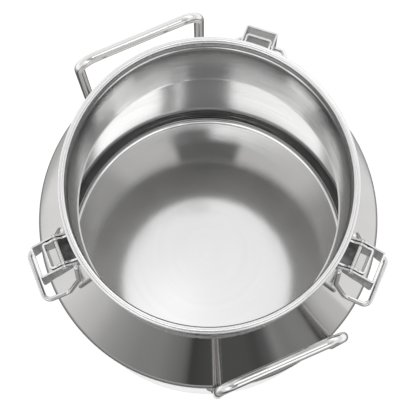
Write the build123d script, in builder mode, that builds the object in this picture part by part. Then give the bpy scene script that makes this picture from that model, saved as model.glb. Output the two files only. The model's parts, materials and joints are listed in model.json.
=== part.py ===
from build123d import *

import os
from math import atan2, cos, degrees, radians, sin, sqrt

# A stainless milk can with three toggle latches, in millimetres. +Z is up, the
# origin is the centre of the base, -Y is the front and the neck is on the Z axis.

# ---- driving dimensions: the vessel -------------------------------------------
total_height = 420.0
body_radius = 166.8  # outside of the side wall
body_sheet = 1.5
neck_inner_radius = 121.3
neck_sheet = 1.2
neck_height = 109.0  # from the mouth down to the shoulder
shoulder_height = 65.0  # of the cone, from the neck down to the side wall
shoulder_knuckle = 18.0
shoulder_skirt = 10.0  # straight wall below the cone
bead_diameter = 6.5
swage_depth = 0.3  # shallow groove rolled into the neck under the bead
swage_top, swage_bottom = 9.0, 22.0  # below the mouth
swage_slope = 2.5
base_knuckle = 12.0
base_upstand = 16.0  # turned-up edge of the bottom pan
weld_gap = 1.2  # between two butted sheets
weld_proud = 0.25
seam_azimuth = 274.0  # of the neck and the cone
body_seam_azimuth = 230.0
seam_width = 5.0
seam_height = 0.3

# ---- driving dimensions: the two handles --------------------------------------
handle_azimuths = {"rear": 113.6, "front": 293.5}
handle_bar_radius = 4.75
handle_plane = 161.5  # from the can's axis to the plane of the bar
handle_half_width = 60.5  # to the middle of each leg
handle_grip_z = 349.0
handle_foot_z = 220.0
handle_corner_radius = 18.0
handle_foot_radius = 10.0
foot_weld_radius = 8.6
foot_weld_length = 6.0

# ---- driving dimensions: the three toggle latches -----------------------------
latch_azimuths = {"left": 201.2, "right": 337.0, "rear": 72.5}
channel_bend = 3.0  # outside radius where the sheet of a bracket or lever is bent
bracket_half_width = 12.25
bracket_sheet = 2.0
bracket_reach = 154.0  # from the can's axis to the outside of the bracket
bracket_top_z, bracket_bottom_z = 360.0, 327.0
pin_reach, pin_z = 141.4, 359.0
pin_radius = 2.0
pin_head_radius = 3.5
pin_head_length = 1.5
lug_radius = 5.5  # metal round the pin
lever_half_width = 15.0
lever_sheet = 1.6
lever_reach = 165.0  # from the can's axis to the top of the lever's outside
lever_flare = 3.5  # how much further out its bottom is
lever_top_z, lever_bottom_z = 350.0, 303.0
lever_waist = (128.0, 298.0)  # middle of the hollow under the cheeks
lever_waist_radius = 36.0
bail_reach, bail_z = 132.5, 354.0  # the bail's pivot in the lever's cheeks
bail_wire_radius = 2.3
bail_lug_radius = 4.5
bail_shoulder = 17.8  # half the width of the bail just outside the cheeks
bail_half_width = 25.0
bail_points = [(135.5, 328.0), (149.0, 279.0), (174.5, 275.0)]  # reach and height
bail_bends = [2.6, 9.0, 7.0, 7.0]
running_clearance = 0.05
side_clearance = 0.2

# ---- worked out ---------------------------------------------------------------
neck_outer_radius = neck_inner_radius + neck_sheet
neck_foot_z = total_height - neck_height
shoulder_foot_z = neck_foot_z - shoulder_height
shoulder_run = body_radius - neck_outer_radius
shoulder_length = sqrt(shoulder_run**2 + shoulder_height**2)
shoulder_slope = shoulder_height / shoulder_run
shoulder_sheet_run = body_sheet * shoulder_length / shoulder_height
bead_z = total_height - bead_diameter / 2
bead_radius = neck_inner_radius + bead_diameter / 2
skirt_z = shoulder_foot_z - shoulder_skirt
body_top_z = skirt_z - weld_gap
body_bottom_z = base_upstand + weld_gap


def radial_plane(azimuth):
    """Plane through the Z axis whose X is the reach from that axis and whose Y is the height."""
    turn = radians(azimuth)
    return Plane(origin=(0, 0, 0), x_dir=(cos(turn), sin(turn), 0), z_dir=(sin(turn), -cos(turn), 0))


def outward_plane(azimuth):
    """Horizontal plane whose X points outward at the azimuth."""
    return Plane.XY.rotated((0, 0, azimuth))


def save(piece, label):
    """Name a finished piece and write its STEP file."""
    piece.label = label
    export_step(piece, f"parts/{label}.step")


def turned(points, corner=None, corner_radius=0.0):
    """Closed profile turned round the Z axis, with one corner rounded."""
    with BuildPart() as solid:
        with BuildSketch(Plane.XZ) as profile:
            with BuildLine():
                Polyline(*points, close=True)
            make_face()
            if corner is not None:
                fillet(profile.vertices().sort_by_distance((*corner, 0))[0], corner_radius)
        revolve(axis=Axis.Z)
    return solid.part


def ring(inner, outer, bottom, top):
    """Straight band of sheet round the Z axis."""
    return turned([(inner, bottom), (outer, bottom), (outer, top), (inner, top)])


def bar(points, bends, radius, plane):
    """Round bar along straight runs joined by bends, drawn in a plane's own coordinates."""
    with BuildPart() as solid:
        with BuildLine(plane) as path:
            FilletPolyline(*points, radius=bends)
        with BuildSketch(Plane(origin=path.line @ 0, z_dir=path.line % 0)):
            Circle(radius)
        sweep()
    return solid.part


def seam(azimuth, reach_top, z_top, reach_bottom, z_bottom):
    """Flattened weld bead lying up a turned wall, from its bottom to its top."""
    half_turn = degrees(seam_width / 2 / reach_bottom)
    with BuildPart() as solid:
        slope = reach_bottom - reach_top, z_top - z_bottom
        length = sqrt(slope[0] ** 2 + slope[1] ** 2)
        out = slope[1] / length * seam_height, slope[0] / length * seam_height
        with BuildSketch(radial_plane(azimuth - half_turn)):
            Polygon(
                (reach_top, z_top),
                (reach_bottom, z_bottom),
                (reach_bottom + out[0], z_bottom + out[1]),
                (reach_top + out[0], z_top + out[1]),
                align=None,
            )
        revolve(axis=Axis.Z, revolution_arc=2 * half_turn)
    return solid.part


# ---- the vessel ---------------------------------------------------------------
def make_neck():
    """Straight neck with one shallow groove rolled outward under the mouth."""
    swage_edges = [
        (0.0, neck_foot_z),
        (0.0, total_height - swage_bottom),
        (swage_depth, total_height - swage_bottom + swage_slope),
        (swage_depth, total_height - swage_top - swage_slope),
        (0.0, total_height - swage_top),
        (0.0, bead_z),
    ]
    inside = [(neck_inner_radius + step, z) for step, z in swage_edges]
    outside = [(neck_outer_radius + step, z) for step, z in reversed(swage_edges)]
    save(turned(inside + outside), "neck_shell")


def make_mouth_bead():
    """Round ring on the neck's top edge, which it half covers."""
    with BuildPart() as mouth_bead:
        with BuildSketch(Plane.XZ):
            with Locations((bead_radius, bead_z)):
                Circle(bead_diameter / 2)
        revolve(axis=Axis.Z)
        add(ring(neck_inner_radius - 1, neck_outer_radius, neck_foot_z, bead_z), mode=Mode.SUBTRACT)
    save(mouth_bead.part, "mouth_bead")


def make_shoulder():
    """Cone from the neck to the side wall, with a rounded knuckle and a short straight skirt."""
    inner_wall = body_radius - body_sheet
    inner_foot = body_radius - shoulder_sheet_run
    inner_knuckle_z = shoulder_foot_z - (inner_wall - inner_foot) * shoulder_slope
    inner_top = neck_outer_radius - shoulder_sheet_run
    outside = [(0, skirt_z), (body_radius, skirt_z), (body_radius, shoulder_foot_z)]
    outside += [(neck_outer_radius, neck_foot_z), (0, neck_foot_z)]
    inside = [(0, skirt_z), (inner_wall, skirt_z), (inner_wall, inner_knuckle_z)]
    inside += [(inner_top, neck_foot_z), (0, neck_foot_z)]
    with BuildPart() as shoulder_cone:
        add(turned(outside, outside[2], shoulder_knuckle))
        add(turned(inside, inside[2], shoulder_knuckle - body_sheet), mode=Mode.SUBTRACT)
    save(shoulder_cone.part, "shoulder_cone")


def make_bottom_pan():
    """Flat bottom with a rounded corner and its edge turned up to meet the side wall."""
    inner_wall = body_radius - body_sheet
    outside = [(0, 0), (body_radius, 0), (body_radius, base_upstand), (0, base_upstand)]
    inside = [(0, body_sheet), (inner_wall, body_sheet), (inner_wall, base_upstand), (0, base_upstand)]
    with BuildPart() as bottom_pan:
        add(turned(outside, outside[1], base_knuckle))
        add(turned(inside, inside[1], base_knuckle - body_sheet), mode=Mode.SUBTRACT)
    save(bottom_pan.part, "bottom_pan")


def make_welds():
    """Ring welds between the sheets, and the seams of the rolled neck, cone and side wall."""
    inner, outer = body_radius - body_sheet - weld_proud, body_radius + weld_proud
    save(ring(inner, outer, base_upstand, body_bottom_z), "bottom_weld")
    save(ring(inner, outer, body_top_z, skirt_z), "shoulder_weld")
    fillet_drop = 3.0
    fillet_section = [
        (neck_outer_radius, neck_foot_z),
        (neck_outer_radius + fillet_drop / shoulder_slope, neck_foot_z - fillet_drop),
        (neck_outer_radius, neck_foot_z + fillet_drop),
    ]
    save(turned(fillet_section), "neck_weld")

    cone_top_z = neck_foot_z - fillet_drop
    cone_bottom_z = shoulder_foot_z + shoulder_knuckle / 2
    cone_reaches = [neck_outer_radius + (neck_foot_z - z) / shoulder_slope for z in (cone_top_z, cone_bottom_z)]
    save(seam(seam_azimuth, cone_reaches[0], cone_top_z, cone_reaches[1], cone_bottom_z), "shoulder_seam")
    save(seam(body_seam_azimuth, body_radius, body_top_z, body_radius, body_bottom_z), "body_seam")
    neck_seam_bottom = neck_foot_z + fillet_drop
    neck_seam_top = total_height - swage_bottom
    save(seam(seam_azimuth, neck_outer_radius, neck_seam_top, neck_outer_radius, neck_seam_bottom), "neck_seam")


# ---- the handles --------------------------------------------------------------
def make_handle(side, azimuth):
    """Bent round bar whose two feet turn in and are welded to the side wall."""
    plane = outward_plane(azimuth)
    wall_reach = sqrt(body_radius**2 - handle_half_width**2)
    buried = wall_reach - 2 * bead_diameter
    leg = [(buried, handle_foot_z), (handle_plane, handle_foot_z), (handle_plane, handle_grip_z)]
    path = [(reach, -handle_half_width, z) for reach, z in leg]
    path += [(reach, handle_half_width, z) for reach, z in reversed(leg)]
    bends = [handle_foot_radius, handle_corner_radius, handle_corner_radius, handle_foot_radius]
    whole_bar = bar(path, bends, handle_bar_radius, plane)
    vessel = ring(body_radius / 2, body_radius, 0, shoulder_foot_z)
    with BuildPart() as handle:
        add(whole_bar)
        add(vessel, mode=Mode.SUBTRACT)
    save(handle.part, f"handle_{side}")

    with BuildPart() as foot_welds:
        for offset in (-handle_half_width, handle_half_width):
            start = plane.from_local_coords((wall_reach - foot_weld_length / 2, offset, handle_foot_z))
            with Locations(Plane(origin=start, z_dir=plane.x_dir)):
                Cone(foot_weld_radius, handle_bar_radius, foot_weld_length, align=(Align.CENTER, Align.CENTER, Align.MIN))
        add(vessel, mode=Mode.SUBTRACT)
        add(whole_bar, mode=Mode.SUBTRACT)
    save(foot_welds.part, f"handle_{side}_welds")


# ---- the latches --------------------------------------------------------------
def channel(azimuth, reach, half_width, sheet):
    """Upright channel of bent sheet, open towards the can's axis, as tall as the can."""
    depth = reach - body_radius / 2
    with BuildPart() as solid:
        with BuildSketch(outward_plane(azimuth)):
            with Locations((reach, 0)):
                RectangleRounded(depth, 2 * half_width, channel_bend, align=(Align.MAX, Align.CENTER))
            with Locations((reach - sheet, 0)):
                RectangleRounded(
                    depth,
                    2 * (half_width - sheet),
                    channel_bend - sheet,
                    align=(Align.MAX, Align.CENTER),
                    mode=Mode.SUBTRACT,
                )
        extrude(amount=total_height)
    return solid.part


def make_bracket(side, azimuth):
    """Upright U-channel welded to the neck, with two lugs that hold the pin."""
    plane = radial_plane(azimuth)
    inner_reach = neck_inner_radius - 2 * bracket_sheet
    with BuildPart() as bracket:
        with BuildSketch(plane):
            with BuildLine():
                Polyline(
                    (inner_reach, bracket_bottom_z),
                    (bracket_reach, bracket_bottom_z),
                    (bracket_reach, bracket_top_z),
                    (inner_reach, bracket_top_z),
                    close=True,
                )
            make_face()
            with Locations((pin_reach, pin_z)):
                Circle(lug_radius)
        extrude(amount=bracket_half_width, both=True)
        add(channel(azimuth, bracket_reach, bracket_half_width, bracket_sheet), mode=Mode.INTERSECT)
        add(ring(neck_inner_radius / 2, neck_outer_radius, neck_foot_z, bead_z), mode=Mode.SUBTRACT)
        with BuildSketch(plane):
            with Locations((pin_reach, pin_z)):
                Circle(pin_radius)
        extrude(amount=bracket_half_width, both=True, mode=Mode.SUBTRACT)
    save(bracket.part, f"latch_{side}_bracket")


def make_pin(side, azimuth):
    """Headed pin through the bracket's lugs and the lever's cheeks."""
    plane = radial_plane(azimuth)
    head_start = lever_half_width + side_clearance
    with BuildPart() as pin:
        with BuildSketch(plane):
            with Locations((pin_reach, pin_z)):
                Circle(pin_radius)
        extrude(amount=head_start, both=True)
        for direction in (-1, 1):
            with BuildSketch(plane.offset(direction * head_start)):
                with Locations((pin_reach, pin_z)):
                    Circle(pin_head_radius)
            extrude(amount=direction * pin_head_length)
    save(pin.part, f"latch_{side}_pin")


def make_lever(side, azimuth):
    """Channel-shaped lever whose cheeks straddle the bracket and whose back leans out."""
    plane = radial_plane(azimuth)
    lean = degrees(atan2(lever_flare, lever_top_z - lever_bottom_z))
    level = outward_plane(azimuth)
    back_top = level.from_local_coords((lever_reach, 0, lever_top_z))
    upright = channel(azimuth, lever_reach, lever_half_width, lever_sheet)
    leaning_channel = upright.rotate(Axis(back_top, level.y_dir), -lean)
    with BuildPart() as lever:
        with BuildSketch(plane):
            with Locations((pin_reach, pin_z)):
                Circle(lug_radius)
            with Locations((bail_reach, bail_z)):
                Circle(bail_lug_radius)
            Polygon(
                (lever_reach, lever_top_z),
                (lever_reach - lever_sheet, lever_top_z),
                (lever_reach + lever_flare - lever_sheet, lever_bottom_z),
                (lever_reach + lever_flare, lever_bottom_z),
                align=None,
            )
            make_hull()
            with Locations(lever_waist):
                Circle(lever_waist_radius, mode=Mode.SUBTRACT)
            with Locations((pin_reach, pin_z)):
                Circle(pin_radius + running_clearance, mode=Mode.SUBTRACT)
            with Locations((bail_reach, bail_z)):
                Circle(bail_wire_radius + running_clearance, mode=Mode.SUBTRACT)
        extrude(amount=lever_half_width, both=True)
        add(leaning_channel, mode=Mode.INTERSECT)
    save(lever.part, f"latch_{side}_lever")


def make_bail(side, azimuth):
    """Wire loop that hooks into the lever's cheeks and hangs round the lever."""
    end = lever_half_width - lever_sheet + side_clearance
    half = [(bail_reach, end, bail_z), (bail_reach, bail_shoulder, bail_z)]
    half += [(reach, bail_half_width, z) for reach, z in bail_points]
    path = half + [(reach, -offset, z) for reach, offset, z in reversed(half)]
    wire = bar(path, bail_bends + bail_bends[::-1], bail_wire_radius, outward_plane(azimuth))
    save(wire, f"latch_{side}_bail")


os.makedirs("parts", exist_ok=True)
make_neck()
make_mouth_bead()
make_shoulder()
save(ring(body_radius - body_sheet, body_radius, body_bottom_z, body_top_z), "body_shell")
make_bottom_pan()
make_welds()
for side, azimuth in handle_azimuths.items():
    make_handle(side, azimuth)
for side, azimuth in latch_azimuths.items():
    make_bracket(side, azimuth)
    make_pin(side, azimuth)
    make_lever(side, azimuth)
    make_bail(side, azimuth)
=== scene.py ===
"""Stainless milk can with two bar handles and three toggle latches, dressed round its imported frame."""

import json
import logging
import math
from collections.abc import Callable, Iterable, Sequence
from dataclasses import dataclass, field
from enum import Enum

import bmesh
import bpy
from mathutils import Matrix, Vector, noise


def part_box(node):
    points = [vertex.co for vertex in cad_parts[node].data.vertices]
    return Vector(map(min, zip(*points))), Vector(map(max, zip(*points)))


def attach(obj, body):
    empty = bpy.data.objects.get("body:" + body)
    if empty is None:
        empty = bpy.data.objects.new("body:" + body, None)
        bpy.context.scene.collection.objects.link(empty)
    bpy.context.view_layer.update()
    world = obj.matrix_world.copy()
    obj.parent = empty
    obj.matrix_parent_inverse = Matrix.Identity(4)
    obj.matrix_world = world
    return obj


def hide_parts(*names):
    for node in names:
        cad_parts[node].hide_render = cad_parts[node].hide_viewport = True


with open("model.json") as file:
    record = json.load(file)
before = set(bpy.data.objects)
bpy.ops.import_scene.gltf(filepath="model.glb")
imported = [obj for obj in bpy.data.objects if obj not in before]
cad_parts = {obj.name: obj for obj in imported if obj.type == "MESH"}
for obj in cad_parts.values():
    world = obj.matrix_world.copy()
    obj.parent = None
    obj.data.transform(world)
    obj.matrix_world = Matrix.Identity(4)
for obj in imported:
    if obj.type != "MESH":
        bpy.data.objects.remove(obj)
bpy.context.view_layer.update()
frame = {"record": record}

LOG = logging.getLogger("milk_can")
MM = 0.001
CLOUD_SCALE = 9.0  # of the duller patches in a polish, per metre
WAVE_SCALE = 14.0  # of the waves left by rolling, per metre
BROAD_SHARE, CLOUD_SHARE = 0.6, 0.4  # of the broad marks and the patches in what dulls a polish
DULL_SHARE, FINE_SHARE = 0.7, 0.3  # of that and the fine marks in its tone and roughness
# TONE_BLEND is the height over which painted shade low on a bar fades into the metal's own tone.
TONE_BLEND = 12 * MM  # height over which a low tone gives way to the bright one
WELD_FACES = 480  # round the axis in a weld
EDGE_ROUND = 0.3 * MM  # radius of the edges of cut sheet
WHITE = (1.0, 1.0, 1.0, 1.0)
Point = tuple[float, float]
Point3 = tuple[float, float, float]


class Side(Enum):
    """Where a handle or a latch sits round the can."""

    LEFT = "left"
    RIGHT = "right"
    REAR = "rear"
    FRONT = "front"


HANDLE_AZIMUTHS = {Side.REAR: 113.6, Side.FRONT: 293.5}
LATCH_SIDES = (Side.LEFT, Side.RIGHT, Side.REAR)


class Grain(Enum):
    """How the polishing marks run over a piece."""

    ROUND = "round the can's axis"
    LOOSE = "in no one direction"


# ---- shader expressions ---------------------------------------------------------
class Signal:
    """One output socket of a material; arithmetic on it adds Math nodes."""

    def __init__(self, shader: "Shader", socket: bpy.types.NodeSocket | None) -> None:
        """Wrap a socket.

        Args:
            shader: The tree that the socket is part of.
            socket: The output socket, if there is one.
        """
        self.shader = shader
        self.socket = socket

    def _math(self, operation: str, first: "Signal | float", second: "Signal | float") -> "Signal":
        """Add one Math node.

        Args:
            operation: The node's operation.
            first: Its first value.
            second: Its second value.

        Returns:
            The node's result.
        """
        return self.shader.node("ShaderNodeMath", {"operation": operation}, {0: first, 1: second})

    def __add__(self, other: "Signal | float") -> "Signal":
        """Sum of two values."""
        return self._math("ADD", self, other)

    def __radd__(self, other: float) -> "Signal":
        """Sum of a number and this value."""
        return self._math("ADD", other, self)

    def __sub__(self, other: "Signal | float") -> "Signal":
        """Difference of two values."""
        return self._math("SUBTRACT", self, other)

    def __rsub__(self, other: float) -> "Signal":
        """A number less this value."""
        return self._math("SUBTRACT", other, self)

    def __mul__(self, other: "Signal | float") -> "Signal":
        """Product of two values."""
        return self._math("MULTIPLY", self, other)

    def __rmul__(self, other: float) -> "Signal":
        """Product of a number and this value."""
        return self._math("MULTIPLY", other, self)

    def __truediv__(self, other: "Signal | float") -> "Signal":
        """Quotient of two values."""
        return self._math("DIVIDE", self, other)

    def __rtruediv__(self, other: float) -> "Signal":
        """A number divided by this value."""
        return self._math("DIVIDE", other, self)

    def __pow__(self, other: "Signal | float") -> "Signal":
        """This value to a power."""
        return self._math("POWER", self, other)

    def __rpow__(self, other: float) -> "Signal":
        """A number to the power of this value."""
        return self._math("POWER", other, self)


class Shader:
    """Node tree of a material or of the world."""

    def __init__(self, name: str, surroundings: bool = False) -> None:
        """Make an empty material, or an empty world.

        Args:
            name: Its name.
            surroundings: Whether it is the world.
        """
        store = bpy.data.worlds if surroundings else bpy.data.materials
        self.owner = store.new(name)
        self.owner.use_nodes = True
        self.output = "ShaderNodeOutputWorld" if surroundings else "ShaderNodeOutputMaterial"
        self.tree = self.owner.node_tree
        self.tree.nodes.clear()

    def node(
        self,
        kind: str,
        settings: dict[str, object] | None = None,
        sockets: dict[str | int, object] | None = None,
        output: str | int = 0,
    ) -> Signal:
        """Add one node.

        Args:
            kind: The node's type.
            settings: What to set on the node itself.
            sockets: Value or link of each input, by name or place.
            output: The output to hand back.

        Returns:
            That output, or an empty one from a node that has none.
        """
        new = self.tree.nodes.new(kind)
        for key, value in (settings or {}).items():
            setattr(new, key, value)
        for key, value in (sockets or {}).items():
            if isinstance(value, Signal):
                self.tree.links.new(value.socket, new.inputs[key])
            else:
                new.inputs[key].default_value = value
        return Signal(self, new.outputs[output] if new.outputs else None)

    def ramp(self, value: Signal, low: float, high: float) -> Signal:
        """Rise smoothly from 0 at a low value to 1 at a high one.

        Args:
            value: What is looked at.
            low: Where the rise starts.
            high: Where it ends.

        Returns:
            The rise.
        """
        settings = {"interpolation_type": "SMOOTHSTEP"}
        return self.node("ShaderNodeMapRange", settings, {"Value": value, "From Min": low, "From Max": high})

    def mix_colour(self, factor: Signal, first: Sequence[float], second: Signal | Sequence[float]) -> Signal:
        """Mix two colours.

        Args:
            factor: 0 for the first, 1 for the second.
            first: Red, green, blue.
            second: Red, green, blue, or a colour from another node.

        Returns:
            The mixed colour.
        """
        second = second if isinstance(second, Signal) else (*second, 1.0)
        sockets = {"Factor": factor, 6: (*first, 1.0), 7: second}
        return self.node("ShaderNodeMix", {"data_type": "RGBA"}, sockets, output=2)

    def finish(self, surface: Signal) -> bpy.types.Material | bpy.types.World:
        """Send a surface to the tree's output.

        Args:
            surface: The shader to show.

        Returns:
            The finished material or world.
        """
        self.node(self.output, sockets={"Surface": surface})
        return self.owner


@dataclass(frozen=True)
class SteelFinish:
    """How one sort of stainless steel is worked.

    Attributes:
        name: The material's name.
        tone: Reflected part of the light, as red, green, blue.
        dark_tone: The same where the polishing is duller.
        roughness: Of the smoothest polish.
        roughness_spread: Added where it is duller.
        grain: How the polishing marks run.
        pitch: Distance between fine marks, in metres.
        run: Length of a mark, in metres.
        depth: Of the marks, in metres.
        stretch: How far highlights spread across the marks, from 0 to 1.
        waviness: Height of the slow waves left by rolling the sheet, in metres.
        painted_shade_top: Height under which painted shade darkens the tone, or 0 for none.
        painted_shade_tone: Reflected part of the light well below that height, darkened as painted shade.
    """

    name: str
    tone: Point3
    dark_tone: Point3
    roughness: float
    roughness_spread: float
    grain: Grain
    pitch: float = 0.0006
    run: float = 0.03
    depth: float = 0.000004
    stretch: float = 0.0
    waviness: float = 0.0
    painted_shade_top: float = 0.0
    painted_shade_tone: Point3 = (0.5, 0.5, 0.5)

    def mark_place(self, shader: Shader, pitch: float) -> Signal:
        """Coordinates in which a round noise becomes marks of this grain.

        Args:
            shader: The material being made.
            pitch: Distance between marks.

        Returns:
            The coordinates.
        """
        place = shader.node("ShaderNodeTexCoord", output="Object")
        if self.grain is Grain.LOOSE:
            return shader.node("ShaderNodeVectorMath", {"operation": "SCALE"}, {0: place, "Scale": 1 / pitch})
        x = shader.node("ShaderNodeSeparateXYZ", sockets={0: place}, output="X")
        y = shader.node("ShaderNodeSeparateXYZ", sockets={0: place}, output="Y")
        z = shader.node("ShaderNodeSeparateXYZ", sockets={0: place}, output="Z")
        reach = (x * x + y * y + 1e-9) ** 0.5
        around = 0.15 / self.run
        sockets = {0: x / reach * around, 1: y / reach * around, 2: (z + reach * 1.37) / pitch}
        return shader.node("ShaderNodeCombineXYZ", sockets=sockets)

    def marks(self, shader: Shader, pitch: float, detail: float) -> Signal:
        """Noise drawn out along the grain.

        Args:
            shader: The material being made.
            pitch: Distance between marks.
            detail: Finer octaves.

        Returns:
            A value from 0 to 1.
        """
        sockets = {"Vector": self.mark_place(shader, pitch), "Scale": 1.0, "Detail": detail}
        return shader.node("ShaderNodeTexNoise", sockets=sockets)

    def make(self) -> bpy.types.Material:
        """Build the material.

        Returns:
            The material.
        """
        shader = Shader(self.name)
        fine = self.marks(shader, self.pitch, 2.0)
        broad = self.marks(shader, self.pitch * 12, 3.0)
        place = shader.node("ShaderNodeTexCoord", output="Object")
        sockets = {"Vector": place, "Scale": CLOUD_SCALE, "Detail": 3.0}
        cloud = shader.node("ShaderNodeTexNoise", sockets=sockets)
        dull = shader.ramp(broad * BROAD_SHARE + cloud * CLOUD_SHARE, 0.35, 0.68)
        colour = shader.mix_colour(dull * DULL_SHARE + fine * FINE_SHARE, self.tone, self.dark_tone)
        # Painted shade: below painted_shade_top the tone darkens towards painted_shade_tone, darker towards
        # the bottom of the piece.
        if self.painted_shade_top:
            z = shader.node("ShaderNodeSeparateXYZ", sockets={0: place}, output="Z")
            bright = shader.ramp(z, self.painted_shade_top - TONE_BLEND, self.painted_shade_top)
            colour = shader.mix_colour(bright, self.painted_shade_tone, colour)
        spread = self.roughness_spread
        roughness = self.roughness + dull * spread * DULL_SHARE + fine * spread * FINE_SHARE
        height = fine * self.depth + broad * (self.depth * 2)
        if self.waviness:
            sockets = {"Vector": place, "Scale": WAVE_SCALE, "Detail": 1.0}
            wave = shader.node("ShaderNodeTexNoise", sockets=sockets)
            height = height + wave * self.waviness
        bump = shader.node("ShaderNodeBump", sockets={"Strength": 1.0, "Distance": 1.0, "Height": height})
        sockets = {"Base Color": colour, "Metallic": 1.0, "Roughness": roughness}
        sockets |= {"Anisotropic": self.stretch, "Normal": bump}
        return shader.finish(shader.node("ShaderNodeBsdfPrincipled", sockets=sockets))


@dataclass(frozen=True)
class WeldFinish:
    """Weld metal, a little darker in the hollows of its ripples.

    Attributes:
        name: The material's name.
        tone: Of the ripples' crests.
        hollow_tone: Of the ripples' hollows.
        roughness: All over.
        ripple: Distance between ripples, in metres.
        depth: Of the ripples, in metres.
    """

    name: str
    tone: Point3
    hollow_tone: Point3
    roughness: float
    ripple: float = 0.0016
    depth: float = 0.00006

    def make(self) -> bpy.types.Material:
        """Build the material.

        Returns:
            The material.
        """
        shader = Shader(self.name)
        place = shader.node("ShaderNodeTexCoord", output="Object")
        sockets = {"Vector": place, "Scale": 1 / self.ripple, "Randomness": 0.9}
        from_crest = shader.node("ShaderNodeTexVoronoi", {"feature": "SMOOTH_F1"}, sockets, output="Distance")
        grit = shader.node("ShaderNodeTexNoise", sockets={"Vector": place, "Scale": 900.0, "Detail": 3.0})
        hollow = shader.ramp(from_crest + grit * 0.3, 0.3, 1.0)
        colour = shader.mix_colour(hollow, self.tone, self.hollow_tone)
        height = from_crest * -self.depth + grit * (self.depth * 0.3)
        bump = shader.node("ShaderNodeBump", sockets={"Strength": 1.0, "Distance": 1.0, "Height": height})
        roughness = self.roughness + grit * 0.12
        sockets = {"Base Color": colour, "Metallic": 1.0, "Roughness": roughness, "Normal": bump}
        return shader.finish(shader.node("ShaderNodeBsdfPrincipled", sockets=sockets))


FINISHES: dict[str, SteelFinish | WeldFinish] = {
    "sheet": SteelFinish(
        "steel_sheet", (0.655, 0.648, 0.642), (0.61, 0.603, 0.598), 0.08, 0.04, Grain.ROUND,
        depth=0.0000008, stretch=0.4, waviness=0.0004,
    ),
    "neck": SteelFinish(
        "steel_neck", (0.78, 0.78, 0.775), (0.6, 0.6, 0.595), 0.07, 0.03, Grain.ROUND, depth=0.0000008
    ),
    "wall": SteelFinish(
        "steel_wall", (0.69, 0.69, 0.685), (0.64, 0.64, 0.635), 0.045, 0.02, Grain.ROUND, depth=0.0000008
    ),
    "floor": SteelFinish(
        "steel_floor", (0.66, 0.66, 0.66), (0.64, 0.64, 0.64), 0.09, 0.01, Grain.ROUND, run=0.3
    ),
    "ring": SteelFinish(
        "steel_ring", (0.96, 0.955, 0.96), (0.91, 0.905, 0.91), 0.24, 0.05, Grain.ROUND, stretch=0.3
    ),
    # The bar gets painted shade low on its legs, below 0.343 m.
    "bar": SteelFinish(
        "steel_bar", (0.94, 0.935, 0.93), (0.87, 0.865, 0.86), 0.09, 0.03, Grain.LOOSE,
        pitch=0.0012, painted_shade_top=0.343, painted_shade_tone=(0.5, 0.495, 0.49),
    ),
    # Latch sheet: rougher, as pressed sheet is, and darker than the other steel as painted shade.
    "pressed": SteelFinish(
        "steel_pressed_painted_shade", (0.46, 0.46, 0.457), (0.38, 0.38, 0.377), 0.2, 0.1, Grain.LOOSE, pitch=0.001
    ),
    "wire": SteelFinish(
        "steel_wire", (0.93, 0.93, 0.93), (0.82, 0.82, 0.82), 0.07, 0.08, Grain.LOOSE, pitch=0.0008
    ),
    "weld": WeldFinish("steel_weld", (0.74, 0.74, 0.73), (0.56, 0.56, 0.55), 0.30),
    "seam": WeldFinish("steel_seam", (0.78, 0.78, 0.775), (0.72, 0.72, 0.715), 0.03, depth=0.00001),
    # Corner of the bottom: a brighter copy of the floor's steel, a painted highlight ring.
    "knuckle": SteelFinish("steel_knuckle_painted_highlight", (0.9, 0.9, 0.9), (0.87, 0.87, 0.87), 0.04, 0.02, Grain.ROUND),
    # Cut edges of the latch sheet: brighter than the sheet, a painted highlight where edges catch the light.
    "edge": SteelFinish("steel_cut_edge_painted_highlight", (0.95, 0.95, 0.95), (0.88, 0.88, 0.88), 0.22, 0.06, Grain.LOOSE),
    # Plate in the latch's pocket: nearly black, painted shade.
    "plate_painted_shade": SteelFinish("steel_plate_painted_shade", (0.4, 0.4, 0.4), (0.1, 0.1, 0.1), 0.35, 0.15, Grain.LOOSE, pitch=0.0006),
}


# ---- mesh building --------------------------------------------------------------
def arc(centre: Point, radius: float, start: float, end: float, steps: int = 10) -> list[Point]:
    """Points on a circular arc.

    Args:
        centre: The arc's centre.
        radius: Its radius.
        start: First angle, in degrees.
        end: Last angle, in degrees.
        steps: Number of chords.

    Returns:
        The points, first and last included.
    """
    angles = [math.radians(start + (end - start) * step / steps) for step in range(steps + 1)]
    return [(centre[0] + radius * math.cos(a), centre[1] + radius * math.sin(a)) for a in angles]


def turns_of(count: int) -> list[float]:
    """Angles of equal steps round a circle, in radians."""
    return [2 * math.pi * step / count for step in range(count)]


def from_bmesh(name: str, mesh: bmesh.types.BMesh, crease: float = 30.0) -> bpy.types.Object:
    """Turn a bmesh into a smooth-shaded object.

    Args:
        name: The object's name.
        mesh: Its mesh, which is freed.
        crease: Angle over which an edge stays sharp, in degrees.

    Returns:
        The object.
    """
    bmesh.ops.recalc_face_normals(mesh, faces=mesh.faces)
    data = bpy.data.meshes.new(name)
    mesh.to_mesh(data)
    mesh.free()
    data.shade_smooth()
    data.set_sharp_from_angle(angle=math.radians(crease))
    made = bpy.data.objects.new(name, data)
    bpy.context.scene.collection.objects.link(made)
    return made


def skin(
    rings: Sequence[Sequence[Vector]],
    mesh: bmesh.types.BMesh,
    closed_rings: bool,
    closed_run: bool,
) -> list[list[bmesh.types.BMVert]]:
    """Join rings of points with quads.

    Args:
        rings: Rings with the same number of points.
        mesh: Where the faces go.
        closed_rings: Whether each ring closes on itself.
        closed_run: Whether the last ring joins the first.

    Returns:
        The rings' vertices.
    """
    rows = [[mesh.verts.new(point) for point in ring] for ring in rings]
    count = len(rows[0])
    pairs = list(zip(rows, rows[1:] + rows[:1] if closed_run else rows[1:]))
    for row, following in pairs:
        for i in range(count if closed_rings else count - 1):
            j = (i + 1) % count
            mesh.faces.new((row[i], row[j], following[j], following[i]))
    return rows


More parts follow.
